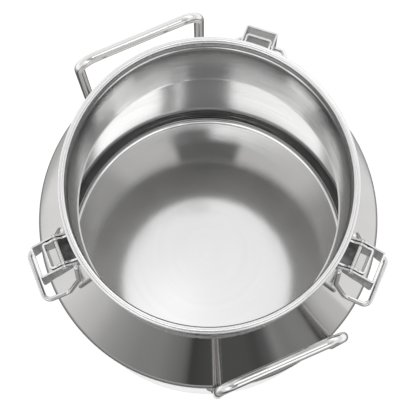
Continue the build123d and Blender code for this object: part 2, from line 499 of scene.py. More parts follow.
def lathe(
    name: str,
    section: Sequence[Point],
    segments: int = 240,
    wobble: Callable[[float, int], Point] | None = None,
) -> bpy.types.Object:
    """Turn a closed section round the Z axis.

    Args:
        name: The object's name.
        section: Reach and height of each point.
        segments: Faces round the axis.
        wobble: Moves a point by reach and height, from its angle and its place in the section.

    Returns:
        The object.
    """
    mesh = bmesh.new()
    rings = []
    for angle in turns_of(segments):
        ring = []
        for place, (reach, z) in enumerate(section):
            out, up = wobble(angle, place) if wobble else (0.0, 0.0)
            ring.append(Vector(((reach + out) * math.cos(angle), (reach + out) * math.sin(angle), z + up)))
        rings.append(ring)
    skin(rings, mesh, closed_rings=True, closed_run=True)
    bmesh.ops.remove_doubles(mesh, verts=mesh.verts, dist=1e-6)
    return from_bmesh(name, mesh)


def bent_path(corners: Sequence[Vector], bends: Sequence[float], steps: int = 8) -> list[Vector]:
    """Straight runs joined by round bends.

    Args:
        corners: The runs' ends, where the bends would be sharp.
        bends: Radius of the bend at each inner corner.
        steps: Chords in a bend.

    Returns:
        Points along the path.
    """
    path = [corners[0]]
    for before, corner, after, radius in zip(corners, corners[1:], corners[2:], bends):
        inward = (before - corner).normalized()
        outward = (after - corner).normalized()
        half_turn = (math.pi - inward.angle(outward)) / 2
        cut = radius * math.tan(half_turn)
        middle = corner + (inward + outward).normalized() * (radius / math.cos(half_turn))
        start = corner + inward * cut - middle
        end = corner + outward * cut - middle
        for step in range(steps + 1):
            path.append(middle + start.slerp(end, step / steps) * radius)
    path.append(corners[-1])
    return path


def tube(path: Sequence[Vector], radius: float, sides: int = 20) -> list[list[Vector]]:
    """Rings round a path, without twist.

    Args:
        path: Points along the middle.
        radius: Of the tube.
        sides: Points in a ring.

    Returns:
        The rings.
    """
    rings = []
    across = (path[1] - path[0]).orthogonal().normalized()
    for place, point in enumerate(path):
        behind = path[max(place - 1, 0)]
        ahead = path[min(place + 1, len(path) - 1)]
        along = (ahead - behind).normalized()
        across = (across - along * across.dot(along)).normalized()
        up = along.cross(across)
        offsets = [(across * math.cos(turn) + up * math.sin(turn)) * radius for turn in turns_of(sides)]
        rings.append([point + offset for offset in offsets])
    return rings


def capped(rings: Sequence[Sequence[Vector]], mesh: bmesh.types.BMesh) -> None:
    """Skin a tube's rings and close both ends.

    Args:
        rings: The tube's rings.
        mesh: Where the faces go.
    """
    rows = skin(rings, mesh, closed_rings=True, closed_run=False)
    mesh.faces.new(rows[0])
    mesh.faces.new(rows[-1])


def add_bevel(piece: bpy.types.Object, width: float, segments: int = 3) -> None:
    """Round a piece's sharp edges.

    Args:
        piece: The piece.
        width: Of the rounding.
        segments: Faces across it.
    """
    bevel = piece.modifiers.new("edges", "BEVEL")
    bevel.width = width
    bevel.segments = segments
    bevel.limit_method = "ANGLE"
    bevel.angle_limit = math.radians(40)
    bevel.harden_normals = True


def ripple(angle: float, seed: float, count: float, size: float) -> float:
    """Uneven waves along a weld.

    Args:
        angle: Place along the weld, in radians.
        seed: Sets one weld apart from another.
        count: Waves in a radian.
        size: Height of a wave.

    Returns:
        The offset.
    """
    return size * noise.noise(Vector((math.cos(angle) * count, math.sin(angle) * count, seed)))


@dataclass
class Pieces:
    """Hands finished pieces to the frame and keeps count of them."""

    made: list[str] = field(default_factory=list)

    def place(
        self,
        piece: bpy.types.Object,
        finish: bpy.types.Material,
        body: str,
        slot: str,
        nodes: Iterable[str] = (),
    ) -> None:
        """Dress a piece and tie it to the frame.

        Args:
            piece: The finished piece.
            finish: Its material.
            body: The body that it rides on.
            slot: The record's material slot; not used.
            nodes: CAD nodes that it stands for.
        """
        piece.data.materials.append(finish)
        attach(piece, body)
        for node in nodes:
            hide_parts(node)
        self.made.append(piece.name)
        LOG.info("%s rides on %s", piece.name, body)


def span(node: str) -> tuple[Vector, Vector]:
    """Lowest and highest corner of a CAD node."""
    low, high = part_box(node)
    return Vector(low), Vector(high)


def joint(name: str) -> dict:
    """The frame's joint of that name."""
    return next(entry for entry in frame["record"]["behaviour"]["joints"] if entry["name"] == name)


def mount(name: str) -> dict:
    """The record's mount of that name."""
    return next(entry for entry in frame["record"]["mounts"] if entry["name"] == name)


# ---- the vessel -----------------------------------------------------------------
@dataclass
class Vessel:
    """Turned sheets of the can, the ring on its mouth and the welds between them.

    Attributes:
        pieces: Where finished pieces go.
        sheet: Thickness of the side wall, the cone and the bottom.
        neck_sheet: Thickness of the neck.
        knuckle: Outside radius between the cone and its skirt.
        skirt: Straight part under the cone.
        base_knuckle: Outside radius of the bottom's corner.
        groove_end: Lower edge of the groove rolled into the neck, below the mouth.
        groove: How far out the neck's wall is, and how far below the mouth, up to the undercut of the ring.
        seam_azimuth: Of the neck's and the cone's seam, in degrees.
        side_seam_azimuth: Of the side wall's seam, in degrees.
        seam_width: Of a seam.
        seam_drop: From the neck's foot to the seams' ends beside it.
        weld_proud: Height of a ring weld over the sheets.
        weld_lap: How far a ring weld covers each sheet.
        fillet: Legs of the weld outside the neck's foot.
    """

    pieces: Pieces
    sheet: float = 1.5 * MM
    neck_sheet: float = 1.2 * MM
    knuckle: float = 18.0 * MM
    skirt: float = 10.0 * MM
    base_knuckle: float = 12.0 * MM
    groove_end: float = 21.0 * MM
    groove: tuple[Point, ...] = (
        (0.0, 21.0 * MM),
        (0.22 * MM, 17.5 * MM),
        (0.22 * MM, 15.5 * MM),
        (0.0, 11.0 * MM),
        (0.0, 10.0 * MM),
        (0.5 * MM, 5.0 * MM),
        (0.5 * MM, 3.25 * MM),
    )
    seam_azimuth: float = 274.0
    side_seam_azimuth: float = 230.0
    seam_width: float = 5.0 * MM
    seam_drop: float = 1.6 * MM
    weld_proud: float = 0.22 * MM
    weld_lap: float = 0.5 * MM
    fillet: float = 2.2 * MM

    def __post_init__(self) -> None:
        """Read the main sizes from the frame."""
        body_low, body_high = span("body_shell")
        self.outer = body_high.x
        self.body_bottom = body_low.z
        self.body_top = body_high.z
        self.base_top = span("bottom_pan")[1].z
        self.skirt_z = span("shoulder_cone")[0].z
        self.shoulder_z = self.skirt_z + self.skirt
        self.neck_foot = span("neck_shell")[0].z
        self.neck_top = span("neck_shell")[1].z
        self.mouth_z = span("mouth_bead")[1].z
        self.neck_inner = mount("mouth")["dims"]["r_mm"] * MM
        self.neck_outer = self.neck_inner + self.neck_sheet
        self.bead = (self.mouth_z - self.neck_top) * 2
        self.run = self.outer - self.neck_outer
        self.rise = self.neck_foot - self.shoulder_z
        self.lean = math.degrees(math.atan2(self.run, self.rise))

    def neck(self) -> bpy.types.Object:
        """The straight neck with its shallow groove.

        Returns:
            The piece.
        """
        stops = [(0.0, self.neck_foot), (0.0, (self.neck_foot + self.mouth_z - self.groove_end) / 2)]
        stops += [(out, self.mouth_z - below) for out, below in self.groove]
        wall = stops[:1]
        for (out, z), (following, next_z) in zip(stops, stops[1:]):
            steps = 6 if following != out else 1
            for step in range(1, steps + 1):
                share = (1 - math.cos(math.pi * step / steps)) / 2
                wall.append((out + (following - out) * share, z + (next_z - z) * step / steps))
        inside = [(self.neck_inner + out, z) for out, z in wall]
        outside = [(self.neck_outer + out, z) for out, z in reversed(wall)]
        return lathe("neck_wall", inside + outside)

    def mouth_ring(self) -> bpy.types.Object:
        """The round ring on the neck's edge."""
        centre = (self.neck_inner + self.bead / 2, self.neck_top)
        return lathe("mouth_ring", arc(centre, self.bead / 2, 0, 360, 28)[:-1])

    def cone(self) -> bpy.types.Object:
        """The cone with its knuckle and skirt.

        Returns:
            The piece.
        """
        corner_z = self.shoulder_z - self.knuckle * math.tan(math.radians(self.lean) / 2)
        centre = (self.outer - self.knuckle, corner_z)
        out = [(self.outer, self.skirt_z), *arc(centre, self.knuckle, 0, self.lean, 8)]
        out.append((self.neck_outer, self.neck_foot))
        inside = arc(centre, self.knuckle - self.sheet, self.lean, 0, 8)
        inner_top = self.neck_outer - self.sheet / math.cos(math.radians(self.lean))
        inside = [(inner_top, self.neck_foot), *inside, (self.outer - self.sheet, self.skirt_z)]
        return lathe("cone_wall", out + inside)

    def side_wall(self) -> bpy.types.Object:
        """The straight side wall."""
        heights = [self.body_bottom + (self.body_top - self.body_bottom) * step / 6 for step in range(7)]
        outside = [(self.outer, z) for z in heights]
        inside = [(self.outer - self.sheet, z) for z in reversed(heights)]
        return lathe("side_wall", outside + inside)

    def floor_pan(self) -> bpy.types.Object:
        """The flat bottom with its turned-up edge.

        Returns:
            The piece.
        """
        centre = (self.outer - self.base_knuckle, self.base_knuckle)
        reaches = [centre[0] * step / 8 for step in range(8)]
        under = [(reach, 0.0) for reach in reaches]
        under += arc(centre, self.base_knuckle, -90, 0, 16) + [(self.outer, self.base_top)]
        inside = [(self.outer - self.sheet, self.base_top)]
        inside += arc(centre, self.base_knuckle - self.sheet, 0, -90, 16)
        inside += [(reach, self.sheet) for reach in reversed(reaches)]
        pan = lathe("floor_pan", under + inside)
        # Faces out on the rounded corner take the second material, the knuckle's painted highlight.
        for face in pan.data.polygons:
            face.material_index = int(math.hypot(face.center.x, face.center.y) > centre[0])
        return pan

    def ring_weld(self, name: str, low: float, high: float, seed: float) -> bpy.types.Object:
        """Butt weld between two sheets, a little proud on both sides.

        Args:
            name: The piece's name.
            low: Its lower edge.
            high: Its upper edge.
            seed: Sets its ripples apart.

        Returns:
            The piece.
        """
        middle, half = (low + high) / 2, (high - low) / 2 + self.weld_lap
        turns = (-1.5, -0.8, 0, 0.8, 1.5)
        rounds = [(self.weld_proud * math.cos(turn), middle + half * math.sin(turn)) for turn in turns]
        section = [(self.outer + proud, z) for proud, z in rounds]
        section += [(self.outer - self.sheet - proud, z) for proud, z in reversed(rounds)]

        def wobble(angle: float, place: int) -> Point:
            """Ripple the weld along its length."""
            return 0.0, ripple(angle, seed + place % 2, count=60, size=0.12 * MM)

        return lathe(name, section, WELD_FACES, wobble)

    def neck_weld(self) -> bpy.types.Object:
        """Dressed fillet weld outside the neck's foot, ground flush inside.

        Returns:
            The piece.
        """
        size = self.fillet
        slope = self.run / self.rise
        low = Vector((self.neck_outer + size * slope, self.neck_foot - size))
        high = Vector((self.neck_outer, self.neck_foot + size))
        corner = Vector((self.neck_outer, self.neck_foot))
        outside = []
        for step in range(9):
            share = step / 8
            point = high.lerp(corner, share).lerp(corner.lerp(low, share), share)
            outside.append((point.x, point.y))
        outside = [(self.neck_outer - 0.3 * MM, self.neck_foot + size), *outside]
        outside.append((low.x - 0.3 * MM, low.y - 0.3 * MM))
        inside = [
            (self.neck_inner + 0.45 * MM, self.neck_foot - 1.2 * MM),
            (self.neck_inner + 0.05 * MM, self.neck_foot - 0.4 * MM),
            (self.neck_inner - 0.03 * MM, self.neck_foot + 0.2 * MM),
            (self.neck_inner + 0.05 * MM, self.neck_foot + 0.8 * MM),
        ]

        def wobble(angle: float, place: int) -> Point:
            """Leave the weld slightly uneven along its length."""
            out = ripple(angle, seed=2.0, count=30, size=0.05 * MM)
            return out, ripple(angle, seed=6.0, count=40, size=0.08 * MM)

        fillet = lathe("neck_fillet_weld", outside + inside, WELD_FACES, wobble)
        for face in fillet.data.polygons:
            face.material_index = int(math.hypot(face.center.x, face.center.y) < self.neck_outer - 0.5 * MM)
        return fillet

    def seam(self, name: str, azimuth: float, top: Point, bottom: Point) -> bpy.types.Object:
        """Planished seam: a thin raised line along each edge, and a flat just under the sheet between them.

        Args:
            name: The piece's name.
            azimuth: Of its middle, in degrees.
            top: Reach and height of its upper end.
            bottom: Reach and height of its lower end.

        Returns:
            The piece.
        """
        along = Vector((bottom[0] - top[0], bottom[1] - top[1]))
        out = Vector((-along.y, along.x)).normalized()
        half = self.seam_width / 2
        sunk = 0.04
        profile = [(-1, 0.0), (-0.9, 0.055), (-0.82, 0.085), (-0.74, 0.055), (-0.66, 0.0), (0, 0.0)]
        profile += [(-across, proud) for across, proud in reversed(profile[:-1])]
        steps = max(8, int(along.length / (1.2 * MM)))
        mesh = bmesh.new()
        rows = []
        for step in range(steps + 1):
            share = step / steps
            base = Vector(top) + along * share
            row = []
            for across, proud in profile:
                swell = 1 + 0.25 * noise.noise(Vector((share * along.length * 500, across * 3, azimuth)))
                height = (proud * swell - sunk) * MM
                reach, z = base.x + out.x * height, base.y + out.y * height
                angle = math.radians(azimuth) + across * half / base.x
                row.append(Vector((reach * math.cos(angle), reach * math.sin(angle), z)))
            rows.append(row)
        skin(rows, mesh, closed_rings=False, closed_run=False)
        piece = from_bmesh(name, mesh, crease=80)
        solid = piece.modifiers.new("metal", "SOLIDIFY")
        solid.thickness = 0.2 * MM
        outward = polar(1.0, azimuth, 0.0)
        solid.offset = -1 if piece.data.polygons[0].normal.dot(outward) > 0 else 1
        return piece

    def build(self, finishes: dict[str, bpy.types.Material]) -> None:
        """Make and place every piece of the vessel.

        Args:
            finishes: The materials by name.
        """
        sheet, floor, ring, weld = (finishes[key] for key in ("sheet", "floor", "ring", "weld"))
        place = self.pieces.place
        place(self.neck(), finishes["neck"], "can", "satin_steel", ["neck_shell"])
        place(self.mouth_ring(), ring, "can", "polished_steel", ["mouth_bead"])
        place(self.cone(), sheet, "can", "satin_steel", ["shoulder_cone"])
        place(self.side_wall(), finishes["wall"], "can", "satin_steel", ["body_shell"])
        pan = self.floor_pan()
        place(pan, floor, "can", "satin_steel", ["bottom_pan"])
        # The pan's rounded corner gets a painted highlight.
        pan.data.materials.append(finishes["knuckle"])
        fillet = self.neck_weld()
        place(fillet, weld, "can", "weld_steel", ["neck_weld"])
        fillet.data.materials.append(finishes["neck"])
        shoulder = self.ring_weld("shoulder_ring_weld", self.body_top, self.skirt_z, 1.0)
        place(shoulder, weld, "can", "weld_steel", ["shoulder_weld"])
        base = self.ring_weld("base_ring_weld", self.base_top, self.body_bottom, 7.0)
        place(base, finishes["wall"], "can", "weld_steel", ["bottom_weld"])
        drop = self.seam_drop
        neck_ends = [(self.neck_outer, z) for z in (self.mouth_z - self.groove_end, self.neck_foot + drop)]
        cone_top = (self.neck_outer + drop * self.run / self.rise, self.neck_foot - drop)
        fall = self.rise - self.knuckle / 2
        cone_bottom = (self.neck_outer + fall * self.run / self.rise, self.neck_foot - fall)
        side_ends = (self.outer, self.body_top), (self.outer, self.body_bottom)
        seams = {
            "neck_seam": (self.seam_azimuth, *neck_ends),
            "shoulder_seam": (self.seam_azimuth, cone_top, cone_bottom),
            "body_seam": (self.side_seam_azimuth, *side_ends),
        }
        for node, (azimuth, top, bottom) in seams.items():
            piece = self.seam(f"{node}_weld", azimuth, top, bottom)
            place(piece, sheet if node == "shoulder_seam" else finishes["seam"], "can", "weld_steel", [node])


# ---- the handles ----------------------------------------------------------------
@dataclass
class Handle:
    """Bent bar with its two feet welded to the side wall.

    Attributes:
        pieces: Where finished pieces go.
        side: Which of the two handles it is.
        azimuth: Of its middle, in degrees.
        wall: Outside radius of the side wall.
        bar: Radius of the bar.
        plane: Reach of the bar's middle.
        half_width: Half the distance between the legs.
        foot_z: Height of the feet.
        corner: Radius of the two upper bends.
        foot_bend: Radius of the two lower bends.
        sunk: How deep the ends and their welds go into the wall.
    """

    pieces: Pieces
    side: Side
    azimuth: float
    wall: float
    bar: float = 4.75 * MM
    plane: float = 161.5 * MM
    half_width: float = 60.5 * MM
    foot_z: float = 220.0 * MM
    corner: float = 18.0 * MM
    foot_bend: float = 10.0 * MM
    sunk: float = 0.8 * MM

    def __post_init__(self) -> None:
        """Read the grip's height from the frame."""
        self.grip_z = span(f"handle_{self.side.value}")[1].z - self.bar
        self.turn = Matrix.Rotation(math.radians(self.azimuth), 4, "Z")

    def on_wall(self, offset: float, sunk: float = 0.0) -> float:
        """Reach of the side wall at an offset, in the handle's own directions."""
        return math.sqrt((self.wall - sunk) ** 2 - offset**2)

    def bent_bar(self) -> bpy.types.Object:
        """The bar, cut at both ends to the curve of the wall.

        Returns:
            The piece.
        """
        end = self.plane - self.foot_bend - 1.0 * MM
        leg = [(end, self.foot_z), (self.plane, self.foot_z), (self.plane, self.grip_z)]
        corners = [Vector((reach, -self.half_width, z)) for reach, z in leg]
        corners += [Vector((reach, self.half_width, z)) for reach, z in reversed(leg)]
        path = bent_path(corners, [self.foot_bend, self.corner, self.corner, self.foot_bend], 12)
        rings = tube(path, self.bar, 28)
        proud = [max(p.x - self.on_wall(p.y, self.sunk) for p in ring) > 0 for ring in rings]
        free = [place for place, clear in enumerate(proud) if clear]
        rings = rings[free[0] - 1 : free[-1] + 2]
        for ring in rings:
            for point in ring:
                if point.z < self.foot_z + self.foot_bend:
                    point.x = max(point.x, self.on_wall(point.y, self.sunk))
        mesh = bmesh.new()
        capped(rings, mesh)
        mesh.transform(self.turn)
        return from_bmesh(f"{self.side.value}_handle_bar", mesh, crease=60)

    def foot_welds(self) -> bpy.types.Object:
        """Rippled fillet round each foot.

        Returns:
            The piece.
        """
        mesh = bmesh.new()
        spread, climb = 3.4 * MM, 3.2 * MM
        for foot, offset in enumerate((-self.half_width, self.half_width)):
            rings = []
            for angle in turns_of(72):
                wave = ripple(angle, foot * 9 + self.azimuth, count=5, size=0.5 * MM)
                ring = []
                for share in (0.0, 0.15, 0.35, 0.55, 0.75, 0.9, 1.0):
                    bulge = 0.55 * math.sin(math.pi * share) * MM + wave * math.sin(math.pi * share)
                    radius = self.bar - 0.3 * MM + (spread + wave) * share + bulge
                    y = offset + radius * math.cos(angle)
                    z = self.foot_z + radius * math.sin(angle)
                    out = climb * (1 - share) + bulge - 0.2 * MM
                    ring.append(Vector((self.on_wall(y) + out, y, z)))
                ring.append(Vector((self.on_wall(y, self.sunk), y, z)))
                inner = offset + (self.bar - 0.3 * MM) * math.cos(angle)
                z = self.foot_z + (self.bar - 0.3 * MM) * math.sin(angle)
                ring.append(Vector((self.on_wall(inner, self.sunk), inner, z)))
                rings.append(ring)
            skin(rings, mesh, closed_rings=True, closed_run=True)
        mesh.transform(self.turn)
        return from_bmesh(f"{self.side.value}_handle_foot_welds", mesh, crease=50)

    def build(self, finishes: dict[str, bpy.types.Material]) -> None:
        """Make and place the bar and its welds.

        Args:
            finishes: The materials by name.
        """
        node = f"handle_{self.side.value}"
        self.pieces.place(self.bent_bar(), finishes["bar"], "can", "bar_steel", [node])
        self.pieces.place(self.foot_welds(), finishes["weld"], "can", "weld_steel", [f"{node}_welds"])


# ---- the latches ----------------------------------------------------------------
@dataclass
class Latch:
    """Toggle latch: bracket, pin, lever and wire bail.

    Attributes:
        pieces: Where finished pieces go.
        side: Which of the three latches it is.
        neck: Outside radius of the neck.
        bracket_half: Half the bracket's width.
        bracket_sheet: Its thickness.
        bracket_reach: Reach of its outer face.
        bracket_ends: Its lower and upper edge.
        lug: Radius of the metal round the pin.
        pin: Radius of the pin.
        pin_head: Radius of its heads.
        lever_half: Half the lever's width.
        lever_sheet: Its thickness.
        lever_reach: Reach of the top of its outer face.
        lever_flare: How much further out the bottom of that face is.
        lever_ends: Lower and upper edge of its outer face.
        waist: Reach, height and radius of the hollow under its cheeks.
        bracket_bend: Outside radius where the bracket's sheet is bent.
        lever_bend: Outside radius where the lever's sheet is bent.
        bail_lug: Radius of the metal round the bail's pivot.
        wire: Radius of the bail's wire.
        bail_shoulder: Half the bail's width beside the cheeks.
        bail_half: Half its full width.
        bail_corners: Reach and height of its corners.
        bail_bends: Radii of its bends.
    """

    pieces: Pieces
    side: Side
    neck: float
    bracket_half: float = 12.25 * MM
    bracket_sheet: float = 2.0 * MM
    bracket_reach: float = 154.0 * MM
    bracket_ends: Point = (327.0 * MM, 360.0 * MM)
    lug: float = 5.5 * MM
    pin: float = 2.0 * MM
    pin_head: float = 3.5 * MM
    lever_half: float = 15.0 * MM
    lever_sheet: float = 1.6 * MM
    lever_reach: float = 165.0 * MM
    lever_flare: float = 3.5 * MM
    lever_ends: Point = (303.0 * MM, 350.0 * MM)
    waist: tuple[float, float, float] = (128.0 * MM, 298.0 * MM, 36.0 * MM)
    bracket_bend: float = 3.0 * MM
    lever_bend: float = 1.9 * MM
    bail_lug: float = 4.5 * MM
    wire: float = 2.3 * MM
    bail_shoulder: float = 17.8 * MM
    bail_half: float = 25.0 * MM
    bail_corners: tuple[Point, ...] = (
        (135.5 * MM, 328.0 * MM),
        (149.0 * MM, 279.0 * MM),
        (174.5 * MM, 275.0 * MM),
    )
    bail_bends: tuple[float, ...] = (2.6 * MM, 9.0 * MM, 7.0 * MM, 7.0 * MM)

    def __post_init__(self) -> None:
        """Read the two pivots from the frame's joints."""
        pivot = joint(f"lever_{self.side.value}_hinge")["pos_m"]
        self.turn = Matrix.Rotation(math.atan2(pivot[1], pivot[0]), 4, "Z")
        self.pin_at = (math.hypot(pivot[0], pivot[1]), pivot[2])
        pivot = joint(f"bail_{self.side.value}_hinge")["pos_m"]
        self.bail_at = (math.hypot(pivot[0], pivot[1]), pivot[2])

    def on_neck(self, offset: float, sunk: float) -> float:
        """Reach just inside the neck's wall at an offset, in the latch's own directions."""
        return math.sqrt(self.neck**2 - offset * offset) - sunk

    def channel(
        self,
        name: str,
        half: float,
        reach: float,
        sheet: float,
        edge: Callable[[float], Point],
        start: float,
        bend: float,
        lean: float = 0.0,
    ) -> bpy.types.Object:
        """Channel of bent sheet, open to the can's axis, whose cheeks have a shaped edge.

        Args:
            name: The piece's name.
            half: Half its width.
            reach: Reach of the top of its outer face.
            sheet: Its thickness.
            edge: Lower and upper edge of a cheek at a reach.
            start: Reach of the cheeks' inner ends.
            bend: Outside radius of its two corners.
            lean: How far it leans out for each metre down.

        Returns:
            The piece.
        """
        middle = sheet / 2
        bend -= middle
        side_y, web_x = half - middle, reach - middle
        count = 26
        cheek = [(start + (web_x - bend - start) * step / count, side_y) for step in range(count)]
        corner = arc((web_x - bend, side_y - bend), bend, 90, 0, 8)
        web = [(web_x, (side_y - bend) * (1 - step / 4)) for step in range(1, 5)]
        half_plan = cheek + corner + web
        plan = half_plan + [(x, -y) for x, y in reversed(half_plan[:-1])]
        top = edge(web_x)[1]
        rows = []
        for x, y in plan:
            slant = lean * max(0.0, (x - start) / (web_x - start))
            low, high = edge(x)
            for _ in range(6 if lean else 0):
                low = edge(x + (top - low) * slant)[0]
                high = edge(x + (top - high) * slant)[1]
            heights = [low + (high - low) * step / 12 for step in range(13)]
            rows.append([Vector((x + (top - z) * slant, y, z)) for z in heights])
        mesh = bmesh.new()
        skin(rows, mesh, closed_rings=False, closed_run=False)
        bmesh.ops.remove_doubles(mesh, verts=mesh.verts, dist=1e-6)
        mesh.transform(self.turn)
        piece = from_bmesh(name, mesh, crease=50)
        solid = piece.modifiers.new("metal", "SOLIDIFY")
        solid.thickness = sheet
        solid.offset = 0
        solid.use_even_offset = True
        # The rim faces take the second material, the cut edges' painted highlight.
        solid.material_offset_rim = 1
        add_bevel(piece, EDGE_ROUND)
        return piece

    def lever_edge(self, reach: float) -> Point:
        """Lower and upper edge of the lever's cheek at a reach.

        Args:
            reach: Distance from the can's axis.

        Returns:
            The two heights.
        """
        low_z, high_z = self.lever_ends
        outline = hull(
            arc(self.pin_at, self.lug, 0, 360, 40)
            + arc(self.bail_at, self.bail_lug, 0, 360, 40)
            + [(self.lever_reach, high_z), (self.lever_reach + self.lever_flare, low_z)]
        )
        low, high = heights_at(outline, min(reach, self.lever_reach + self.lever_flare - 0.01 * MM))
        waist_x, waist_z, waist = self.waist
        inside = waist**2 - (reach - waist_x) ** 2
        if inside > 0:
            low = max(low, waist_z + math.sqrt(inside))
        return min(low, high - 0.5 * MM), high

    def bracket_edge(self, reach: float) -> Point:
        """Lower and upper edge of the bracket's flange at a reach.

        Args:
            reach: Distance from the can's axis.

        Returns:
            The two heights.
        """
        low, high = self.bracket_ends
        inside = self.lug**2 - (reach - self.pin_at[0]) ** 2
        if inside > 0:
            high = max(high, self.pin_at[1] + math.sqrt(inside))
        return low, high

    def headed_pin(self) -> bpy.types.Object:
        """Pin with a domed head at each end.

        Returns:
            The piece.
        """
        inner = self.lever_half + 0.2 * MM
        outer = inner + 1.5 * MM
        half = [(self.pin, 0.0), (self.pin, inner), (self.pin_head, inner), (self.pin_head, inner + 0.6 * MM)]
        half += [(self.pin_head * share, outer - 0.9 * MM * share**2) for share in (0.85, 0.6, 0.3, 0.01)]
        profile = [(radius, -along) for radius, along in reversed(half[1:])] + half
        x, z = self.pin_at
        rings = []
        for radius, along in profile:
            ring = [(radius * math.cos(turn), radius * math.sin(turn)) for turn in turns_of(28)]
            rings.append([Vector((x + out, along, z + up)) for out, up in ring])
        mesh = bmesh.new()
        capped(rings, mesh)
        mesh.transform(self.turn)
        return from_bmesh(f"{self.side.value}_latch_pin_bar", mesh, crease=35)

    def wire_bail(self) -> bpy.types.Object:
        """Bent wire loop.

        Returns:
            The piece.
        """
        end = self.lever_half - self.lever_sheet + 0.2 * MM
        half = [Vector((self.bail_at[0], offset, self.bail_at[1])) for offset in (end, self.bail_shoulder)]
        half += [Vector((reach, self.bail_half, z)) for reach, z in self.bail_corners]
        corners = half + [Vector((point.x, -point.y, point.z)) for point in reversed(half)]
        path = bent_path(corners, self.bail_bends + self.bail_bends[::-1])
        mesh = bmesh.new()
        capped(tube(path, self.wire, 18), mesh)
        mesh.transform(self.turn)
        return from_bmesh(f"{self.side.value}_latch_bail_wire", mesh, crease=60)

    def bracket_welds(self) -> bpy.types.Object:
        """Fillet weld down the outside of each flange, where it meets the neck.

        Returns:
            The piece.
        """
        mesh = bmesh.new()
        low, high = self.bracket_ends
        steps, size = 36, 1.8 * MM
        for side in (-1, 1):
            rings = []
            for step in range(steps + 1):
                share = step / steps
                z = low + 1.0 * MM + (high - low - 2.0 * MM) * share
                taper = min(1.0, 6 * share + 0.3, 6 * (1 - share) + 0.3)
                swell = taper * size * (1 + 0.3 * noise.noise(Vector((z * 900, side, self.pin_at[0]))))
                y = side * (self.bracket_half - 0.2 * MM)
                wall = self.on_neck(y, 0.3 * MM)
                far_y = y + side * swell
                far = self.on_neck(far_y, 0.1 * MM)
                ring = [(wall, y), (wall + swell, y), (wall + swell * 0.8, y + side * swell * 0.45)]
                ring += [(wall + swell * 0.4, y + side * swell * 0.85), (far, far_y)]
                rings.append([Vector((px, py, z)) for px, py in ring])
            capped(rings, mesh)
        mesh.transform(self.turn)
        return from_bmesh(f"{self.side.value}_latch_bracket_welds", mesh, crease=50)

    def painted_shade_plate(self) -> bpy.types.Object:
        """Rough, dark plate between the bracket's cheeks, behind the pin: its darkness is painted shade for
        the pocket there.

        Returns:
            The piece.
        """
        half = self.bracket_half - self.bracket_sheet + 0.3 * MM
        z = self.bracket_ends[0] + 1.0 * MM
        mesh = bmesh.new()
        rows = []
        for step in range(13):
            y = half * (step / 6 - 1)
            wall = self.on_neck(y, 0.2 * MM)
            depth = self.pin_at[0] - wall
            rows.append([Vector((wall + depth * share, y, z)) for share in (0, 0.25, 0.5, 0.75, 1)])
        skin(rows, mesh, closed_rings=False, closed_run=False)
        mesh.transform(self.turn)
        piece = from_bmesh(f"{self.side.value}_latch_foot_plate", mesh)
        solid = piece.modifiers.new("metal", "SOLIDIFY")
        solid.thickness = self.lever_sheet
        solid.offset = 1
        add_bevel(piece, EDGE_ROUND)
        return piece

    def build(self, finishes: dict[str, bpy.types.Material]) -> None:
        """Make and place the latch's pieces.

        Args:
            finishes: The materials by name.
        """
        name, node = self.side.value, f"latch_{self.side.value}"
        bracket = self.channel(
            f"{name}_latch_bracket_sheet",
            self.bracket_half,
            self.bracket_reach,
            self.bracket_sheet,
            self.bracket_edge,
            self.on_neck(self.bracket_half, 0.4 * MM),
            self.bracket_bend,
        )
        lever = self.channel(
            f"{name}_latch_lever_sheet",
            self.lever_half,
            self.lever_reach,
            self.lever_sheet,
            self.lever_edge,
            self.bail_at[0] - self.bail_lug + 0.02 * MM,
            self.lever_bend,
            self.lever_flare / (self.lever_ends[1] - self.lever_ends[0]),
        )
        place = self.pieces.place
        place(bracket, finishes["pressed"], "can", "latch_steel", [f"{node}_bracket"])
        # The dark plate is painted shade inside the bracket.
        place(self.painted_shade_plate(), finishes["plate_painted_shade"], "can", "latch_steel")
        place(self.bracket_welds(), finishes["weld"], "can", "weld_steel")
        place(self.headed_pin(), finishes["wire"], "can", "wire_steel", [f"{node}_pin"])
        place(lever, finishes["pressed"], f"lever_{name}", "latch_steel", [f"{node}_lever"])
        # Second material of both sheets: the painted highlight on their cut edges.
        for sheet in (bracket, lever):
            sheet.data.materials.append(finishes["edge"])
        place(self.wire_bail(), finishes["wire"], f"bail_{name}", "wire_steel", [f"{node}_bail"])


def hull(points: Sequence[Point]) -> list[Point]:
    """Convex hull, anticlockwise.

    Args:
        points: Points of a plane.

    Returns:
        The hull's corners.
    """

    def chain(ordered: Iterable[Point]) -> list[Point]:
        """One side of the hull."""
        kept: list[Point] = []
        for x, y in ordered:
            while len(kept) > 1:
                (ax, ay), (bx, by) = kept[-2:]
                if (bx - ax) * (y - ay) - (by - ay) * (x - ax) > 0:
                    break
                kept.pop()
            kept.append((x, y))
        return kept[:-1]

    ordered = sorted(set(points))
    return chain(ordered) + chain(reversed(ordered))


def heights_at(outline: Sequence[Point], reach: float) -> Point:
    """Lowest and highest point of a convex outline at a reach.

    Args:
        outline: Corners in order.
        reach: Where to look.

    Returns:
        The two heights.
    """
    crossings = []
    for (ax, az), (bx, bz) in zip(outline, [*outline[1:], outline[0]]):
        if min(ax, bx) <= reach <= max(ax, bx) and ax != bx:
            crossings.append(az + (bz - az) * (reach - ax) / (bx - ax))
    return min(crossings), max(crossings)


